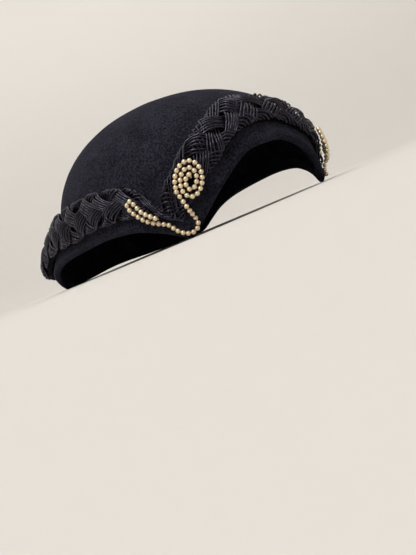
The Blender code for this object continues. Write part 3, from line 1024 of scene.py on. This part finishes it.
    def build_tape(self, material: bpy.types.Material) -> bpy.types.Object:
        """Make the padded tape that the plait is sewn to."""
        inset, rows = self.tape_inset, self.tape_rows
        lines = []
        for column in range(self.tape_columns + 1):
            position = wrapped(2.0 * CENTRE_BACK * column / self.tape_columns)
            line = [self.place(position, inset, 0.0)[0]]
            for row in range(rows + 1):
                across = blend(inset, 1.0 - inset, row / rows)
                thickness = self.thickness_at(position) * self.rounded(across)
                lift = thickness - self.tape_depth * self.cord_radius - 2.0 * self.weave_depth
                line.append(self.place(position, across, max(lift, self.tape_least))[0])
            line.append(self.place(position, 1.0 - inset, 0.0)[0])
            line.append(line[0])
            lines.append(line)
        shape = Shape()
        shape.lay_grid(lines)
        return shape.finished("band_tape", material)

    def build(self, cord: bpy.types.Material, tape: bpy.types.Material) -> list[bpy.types.Object]:
        """Make the band's pieces."""
        pieces = [*self.build_strands(cord), self.build_tape(tape)]
        for piece in pieces:
            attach(piece, "root")
            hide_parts("braid_band")
        return pieces


@dataclass(frozen=True)
class BeadWork:
    """What the rosettes and the strings share: the beads and the thread."""

    radius: float = 1.5 * MM
    pitch: float = 3.1 * MM
    thread_radius: float = 0.42 * MM
    thread_pitch: float = 0.9 * MM
    size_spread: float = 0.035
    seed: int = 11

    def lay(self, path: Sequence[Vector]) -> tuple[Shape, Shape]:
        """String beads along close points of a path, and return the beads and the thread."""
        chance = random.Random(self.seed)
        beads, thread = Shape(), Shape()
        centres = spaced(path, self.pitch)
        for index, centre in enumerate(centres):
            along = centres[min(index + 1, len(centres) - 1)] - centres[max(index - 1, 0)]
            size = self.radius * (1.0 + chance.uniform(-self.size_spread, self.size_spread / 3))
            beads.lay_bead(centre, along.normalized(), size)
        points = spaced(path, self.thread_pitch)
        sides = [outward_from_crown(point) for point in points]
        thread.lay_tube(points, sides, [self.thread_radius] * len(points), sides=6)
        return beads, thread

    def build(self, path: Sequence[Vector], side: Side, part: str, finishes: Materials) -> None:
        """Make the pieces of a rosette or a string.

        Args:
            path: Close points along the thread, worked out on the wearer's right.
            side: The side that they are for.
            part: What they make, which names their node.
            finishes: What the beads and the thread are made of.
        """
        node = f"pearl_{part}_{side.name.lower()}"
        shapes = self.lay(mirrored(path, side))
        for shape, suffix, material in zip(shapes, ("beads", "thread"), finishes):
            piece = shape.finished(f"{node}_{suffix}", material)
            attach(piece, "root")
            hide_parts(node)
            LOG.info("%s: %d faces", piece.name, len(piece.data.polygons))


def outward_from_crown(point: Vector) -> Vector:
    """Return the level direction from the hat's middle to a point."""
    return Vector((point.x, point.y, 0.0)).normalized()


def mirrored(points: Sequence[Vector], side: Side) -> list[Vector]:
    """Return points, worked out on the wearer's right, on a side."""
    return [Vector((point.x * side.value, point.y, point.z)) for point in points]


@dataclass
class Rosette:
    """An oval spiral of beads sewn flat on the band."""

    form: HatForm
    band: CordBand
    side: Side
    position: float
    level: float
    sag: float
    width: float = 20.4 * MM
    height: float = 27.4 * MM
    turns: float = 2.5
    turn_pitch: float = 3.1 * MM
    eye: float = 4.6 * MM
    start_angle: float = math.radians(198.0)
    lean: float = math.radians(22.0)
    bend_radius: float = 85.0 * MM
    sag_start: float = 3.0 * MM
    sag_power: float = 1.5
    gap: float = 0.9 * MM
    steps: int = 600

    def path(self, work: BeadWork) -> list[Vector]:
        """Return close points of the spiral on the wearer's right, from its outer end."""
        form = self.form
        angle = form.angle_at(self.position)
        lift = self.band.gap + self.band.thickness_at(self.position) + self.gap + work.radius
        middle, outward = form.off_felt(angle, self.level, lift)
        front = Vector((math.cos(angle), -math.sin(angle), 0.0))
        front = (front - outward * front.dot(outward)).normalized()
        up = outward.cross(front)
        if up.z < 0.0:
            up.negate()
        long_way = up * math.cos(self.lean) + front * math.sin(self.lean)
        short_way = front * math.cos(self.lean) - up * math.sin(self.lean)
        points = []
        for step in range(self.steps + 1):
            turns = self.turns * step / self.steps
            turn = self.start_angle - math.tau * turns
            across = self.width / 2 - work.radius - self.turn_pitch * turns
            along = blend(self.height / 2 - work.radius, self.eye / 2, turns / self.turns)
            x, y = across * math.cos(turn), along * math.sin(turn)
            low = max(self.sag_start - y, 0.0) / (self.sag_start + self.height / 2)
            bend = (x * x + y * y) / (2.0 * self.bend_radius) + self.sag * low**self.sag_power
            points.append(middle + short_way * x + long_way * y - outward * bend)
        return points

    def build(self, work: BeadWork, finishes: Materials) -> None:
        """Make the rosette's beads and thread."""
        work.build(self.path(work), self.side, "rosette", finishes)


# Where a string hangs from its rosette: position, height in mm, distance from the felt in mm
DROPS: dict[Side, tuple[Row, ...]] = {
    Side.RIGHT: (
        (0.914, 16.6, 6.4), (0.908, 13.6, 4.0), (0.900, 10.8, 2.1), (0.893, 7.8, 2.0),
        (0.902, 5.2, 2.0), (0.936, 3.4, 2.0), (0.982, 3.1, 2.0),
    ),
    Side.LEFT: (
        (1.002, 17.2, 7.6), (0.994, 13.6, 6.6), (0.976, 10.2, 3.6), (0.958, 6.8, 2.0),
        (0.962, 4.0, 2.0),
    ),
}


@dataclass
class BeadString:
    """A string of beads that leaves a rosette, rounds the temple point and doubles back."""

    rosette: Rosette
    gap: float = 0.9 * MM
    steps: int = 40

    # Where it doubles back on the band: position, height in mm, distance from the felt in mm
    loop: tuple[Row, ...] = (
        (1.009, 4.4, 2.0), (1.022, 6.6, 2.0), (1.032, 9.6, 2.0), (1.042, 12.4, 2.0),
        (1.058, 14.4, 2.4), (1.074, 16.4, 3.2), (1.088, 19.0, 4.7), (1.098, 22.2, 6.4),
        (1.107, 25.4, 7.5), (1.114, 28.2, 7.9), (1.117, 30.4, 7.9), (1.114, 32.0, 7.9),
        (1.105, 32.2, 7.9), (1.098, 30.4, 7.9), (1.091, 27.2, 7.8), (1.082, 23.9, 7.7),
        (1.070, 21.3, 7.5), (1.058, 18.8, 7.3), (1.047, 16.9, 6.8),
    )

    def build(self, work: BeadWork, finishes: Materials) -> None:
        """Make the string's beads and thread."""
        form = self.rosette.form
        spiral = self.rosette.path(work)
        leaving = (spiral[0] - spiral[1]).normalized()
        route = [spiral[0] + leaving * (work.radius + self.gap)]
        for position, level, lift in DROPS[self.rosette.side] + self.loop:
            angle = form.angle_at(position)
            route.append(form.off_felt(angle, level * MM, lift * MM)[0])
        work.build(smooth_route(route, self.steps), self.rosette.side, "string", finishes)


# ---------------------------------------------------------------- studio


@dataclass
class Studio:
    """The floor, the lights and the camera."""

    floor_radius: float = 0.65
    wall_radius: float = 2.0
    wall_height: float = 2.6
    azimuth: float = math.radians(-37.24)
    elevation: float = math.radians(3.35)
    roll: float = math.radians(-22.96)
    distance: float = 592.8 * MM
    aim: tuple[float, float, float] = (3.3 * MM, 1.0 * MM, -30.35 * MM)
    lens: float = 55.14
    sensor: float = 36.0
    near: float = 1.0 * MM
    air: Colour = (0.96, 0.94, 0.92)
    air_strength: float = 0.12
    bend_steps: int = 8
    spin_steps: int = 64
    weld: float = 0.01 * MM

    def build_floor(self) -> None:
        """Make a pale floor that turns up into a wall all round, far from the hat."""
        mesh = bmesh.new()
        bend = self.wall_radius - self.floor_radius
        profile = [(0.0, 0.0), (self.floor_radius / 2, 0.0)]
        for step in range(self.bend_steps + 1):
            turn = math.pi / 2 * step / self.bend_steps
            reach = self.floor_radius + bend * math.sin(turn)
            profile.append((reach, bend * (1.0 - math.cos(turn))))
        profile.append((self.wall_radius, self.wall_height))
        verts = [mesh.verts.new((x, 0.0, z)) for x, z in profile]
        edges = [mesh.edges.new(pair) for pair in zip(verts, verts[1:])]
        bmesh.ops.spin(
            mesh,
            geom=verts + edges,
            cent=(0.0, 0.0, 0.0),
            axis=(0.0, 0.0, 1.0),
            angle=math.tau,
            steps=self.spin_steps,
            use_merge=True,
        )
        bmesh.ops.remove_doubles(mesh, verts=mesh.verts, dist=self.weld)
        floor = smooth_piece("floor", mesh, StudioFinish().material())

    def add_light(
        self, name: str, place: Vector, target: Vector, size: float, power: float, colour: Colour
    ) -> None:
        """Hang a square soft light at a place, facing a target."""
        light = bpy.data.lights.new(name, "AREA")
        light.size = size
        light.energy = power
        light.color = colour
        lamp = bpy.data.objects.new(name, light)
        lamp.location = place
        lamp.rotation_mode = "QUATERNION"
        lamp.rotation_quaternion = (place - target).to_track_quat("Z", "Y")
        bpy.context.scene.collection.objects.link(lamp)

    def build_lights(self) -> None:
        """Hang the lights and set the air's own light."""
        hat = Vector((0.0, 0.0, 0.05))
        self.add_light("key", Vector((-0.8, -0.45, 1.2)), hat, 0.4, 13.0, (1.0, 0.97, 0.93))
        self.add_light("top", Vector((0.1, 0.2, 2.4)), hat, 1.8, 17.0, (1.0, 0.985, 0.965))
        self.add_light("fill", Vector((0.5, -1.3, 0.5)), hat, 0.8, 0.6, (0.96, 0.97, 1.0))
        wall = Vector((1.2, 1.5, 0.5))
        self.add_light("backdrop", Vector((0.2, 0.3, 1.6)), wall, 1.0, 9.6, (1.0, 0.98, 0.96))
        world = bpy.data.worlds.new("soft_air")
        world.use_nodes = True
        air = world.node_tree.nodes["Background"]
        set_values(air, Color=self.air, Strength=self.air_strength)
        bpy.context.scene.world = world
        bpy.context.scene.view_settings.view_transform = "Standard"

    def build_camera(self) -> None:
        """Set up the camera at the photograph's viewing angle, raised just clear of the floor."""
        level = math.cos(self.elevation)
        ahead, aside = math.cos(self.azimuth) * level, math.sin(self.azimuth) * level
        back = Vector((aside, -ahead, math.sin(self.elevation)))
        right = Vector((0.0, 0.0, 1.0)).cross(back).normalized()
        up = back.cross(right)
        rolled_right = right * math.cos(self.roll) + up * math.sin(self.roll)
        rolled_up = up * math.cos(self.roll) - right * math.sin(self.roll)
        view = bpy.data.cameras.new("view")
        view.lens = self.lens
        view.sensor_fit = "VERTICAL"
        view.sensor_height = self.sensor
        view.sensor_width = self.sensor
        view.clip_start = self.near
        camera = bpy.data.objects.new("view", view)
        turned = Matrix((rolled_right, rolled_up, back)).transposed().to_4x4()
        camera.matrix_world = Matrix.Translation(Vector(self.aim) + back * self.distance) @ turned
        bpy.context.scene.collection.objects.link(camera)
        bpy.context.scene.camera = camera

    def build(self) -> None:
        """Build the studio."""
        self.build_floor()
        self.build_lights()
        self.build_camera()


def main() -> None:
    """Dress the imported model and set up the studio."""
    logging.basicConfig(level=logging.INFO, format="%(message)s")
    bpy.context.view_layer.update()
    form = HatForm()
    effects = Effects()
    felt = FeltFinish().material(effects)
    # The tape is near black: painted shade seen through the gaps between the cords.
    black = FeltFinish("tape_painted_gap_shade", dark=(0.0006, 0.0006, 0.001), light=(0.002, 0.002, 0.003))
    tape = black.material(effects)
    cord = CordFinish().material(effects)
    beads = (PearlFinish().material(effects), ThreadFinish().material(effects))

    FeltCap(form).build(felt)
    band = CordBand(form)
    band.build(cord, tape)
    work = BeadWork()
    right = Rosette(form, band, Side.RIGHT, position=0.816, level=29.4 * MM, sag=2.0 * MM)
    left = Rosette(form, band, Side.LEFT, position=0.84, level=21.6 * MM, sag=4.4 * MM)
    for rosette in (right, left):
        rosette.build(work, beads)
        BeadString(rosette).build(work, beads)
    Studio().build()


if __name__ == "__main__":
    main()
